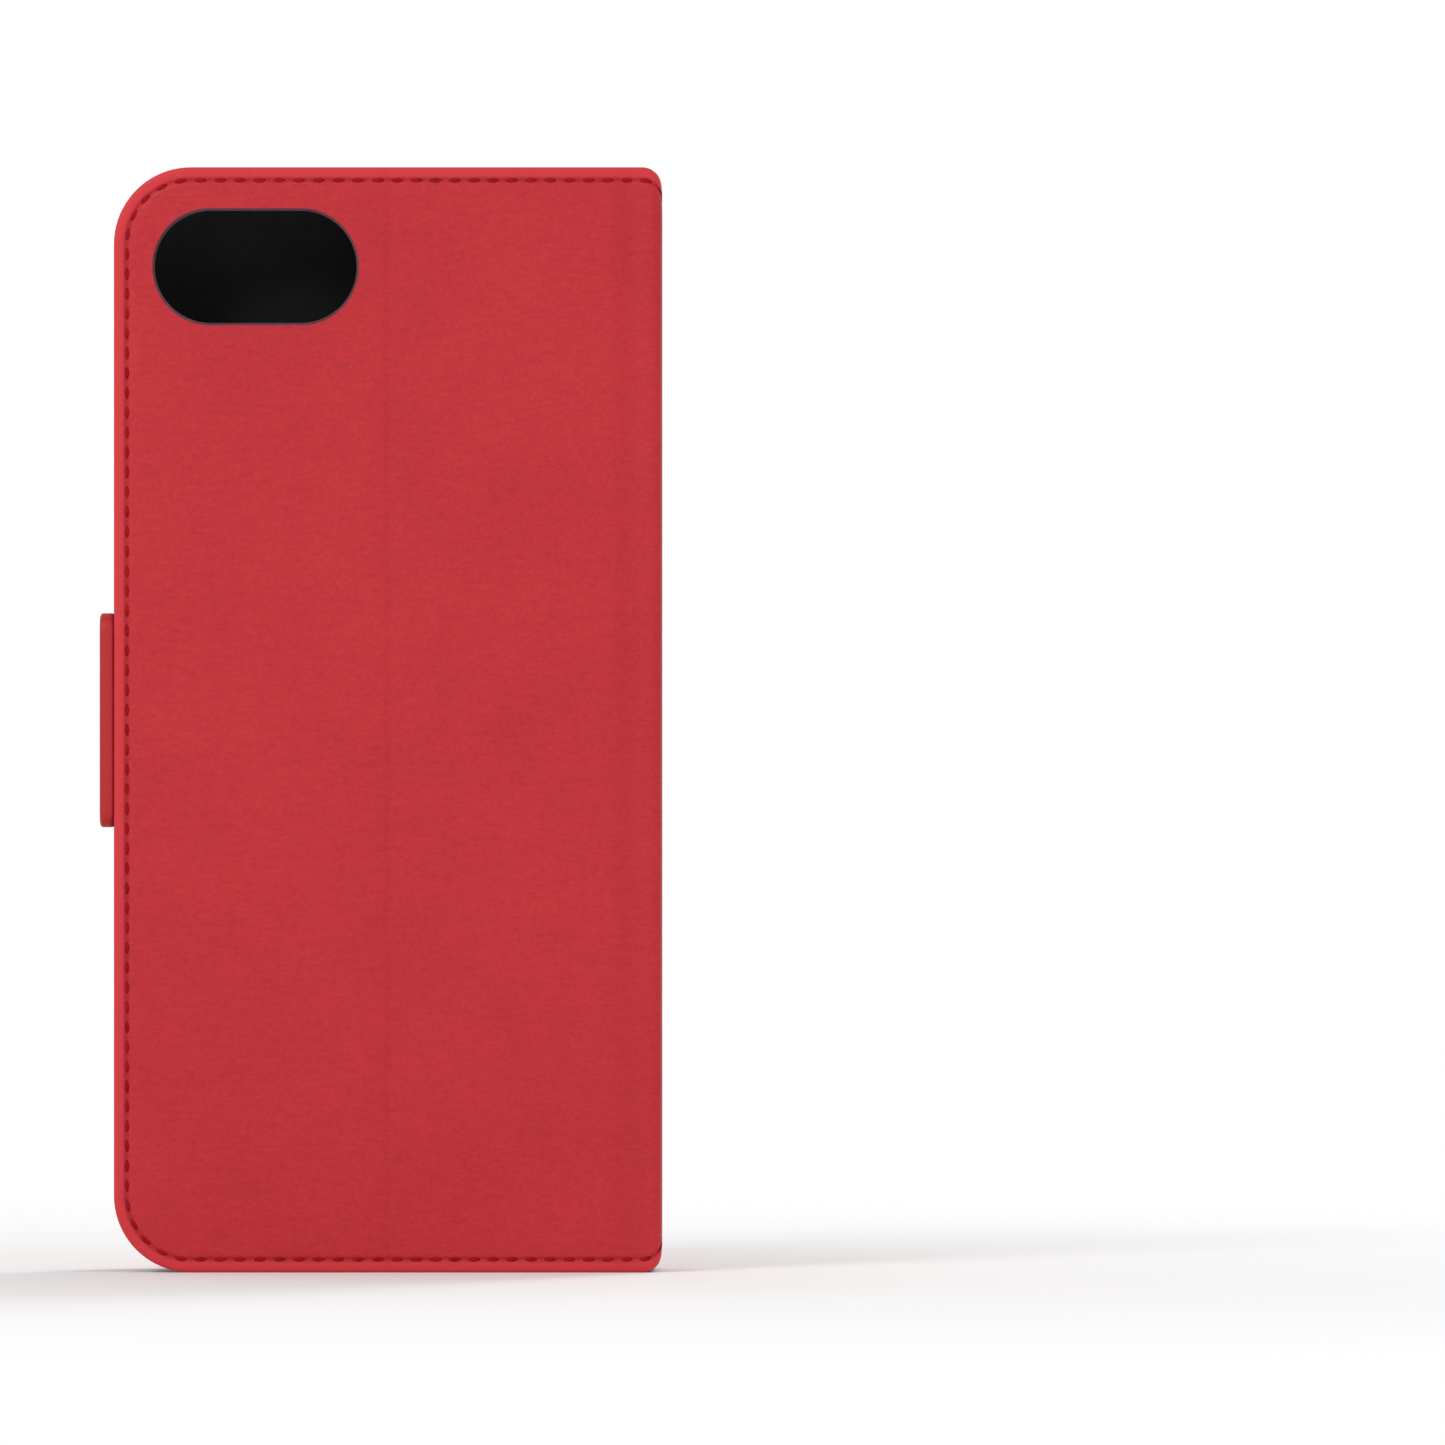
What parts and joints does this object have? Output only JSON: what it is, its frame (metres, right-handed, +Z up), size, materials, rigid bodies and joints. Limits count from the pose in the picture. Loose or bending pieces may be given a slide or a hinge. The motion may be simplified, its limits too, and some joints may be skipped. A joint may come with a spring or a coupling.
{
  "type": "phone wallet case",
  "caption": "Folio wallet case for a phone: folding leather cover with a camera window, clip-in tray, card pockets, fold-out stand and magnetic side tab.",
  "frame": {"origin": "bottom centre of the closed case's box, tab included", "axes": "+Z up the case; +Y out of the back, the face with the camera window; -Y out of the front cover; the spine is on the -X side and the magnetic tab on the +X side"},
  "size_m": [0.0746, 0.0166, 0.1465],
  "materials": {
    "red_leather": "fine-grained coated leather, satin",
    "thread": "tone-on-tone red sewing thread",
    "black_thread": "black sewing thread",
    "lining": "black short-pile microfibre",
    "pocket_leather": "thin black coated leather",
    "tray": "matt black flexible plastic",
    "board": "grey pressed card",
    "adhesive": "double-sided sheet",
    "steel_plate": "thin rolled strip",
    "magnet": "nickel plated"
  },
  "bodies": {
    "holder": {"phone_tray": "tray", "tab_keeper_plate": "steel_plate", "tray_adhesive_sheet": "adhesive", "back_skin_camera_side": "red_leather", "back_board_camera_side": "board", "back_lining_camera_side": "lining", "back_stitches_camera_side": "thread"},
    "stand_flap": {"back_skin_spine_side": "red_leather", "back_board_spine_side": "board", "back_lining_spine_side": "lining", "back_stitches_spine_side": "thread"},
    "spine": {"spine_skin": "red_leather", "spine_lining": "lining", "spine_stitches": "thread"},
    "gutter": {"gutter_skin": "red_leather", "gutter_lining": "lining", "gutter_stitches": "thread"},
    "front_cover": {"front_skin": "red_leather", "front_board": "board", "front_lining": "lining", "front_stitches": "thread", "cash_pocket": "pocket_leather", "card_pocket_top": "pocket_leather", "card_pocket_middle": "pocket_leather", "card_pocket_bottom": "pocket_leather", "pocket_stitches": "black_thread", "tab_anchor": "red_leather"},
    "closure_tab": {"closure_tab_skin": "red_leather", "closure_tab_filler": "board", "closure_tab_magnets": "magnet", "closure_tab_lining": "red_leather", "closure_tab_stitches": "thread"}
  },
  "joints": [
    {"name": "stand_fold", "type": "hinge", "parent": "holder", "child": "stand_flap", "pos_m": [-0.00095, 0.00835, 0.07325], "axis": [0, 0, -1], "range_deg": [0, 35]},
    {"name": "spine_fold", "type": "hinge", "parent": "stand_flap", "child": "spine", "pos_m": [-0.03678, 0.00785, 0.07325], "axis": [0, 0, -1], "range_deg": [0, 90]},
    {"name": "gutter_fold", "type": "hinge", "parent": "spine", "child": "gutter", "pos_m": [-0.03678, -0.00785, 0.07325], "axis": [0, 0, -1], "range_deg": [0, 140]},
    {"name": "cover_fold", "type": "hinge", "parent": "gutter", "child": "front_cover", "pos_m": [-0.03097, -0.00835, 0.07325], "axis": [0, 0, -1], "range_deg": [0, 90]},
    {"name": "tab_swing", "type": "hinge", "parent": "front_cover", "child": "closure_tab", "pos_m": [0.03547, -0.00835, 0.07325], "axis": [0, 0, -1], "range_deg": [0, 160]}
  ],
  "couplings": [
    {"joint": "stand_fold", "follows": "gutter_fold", "ratio": 0.25}
  ]
}
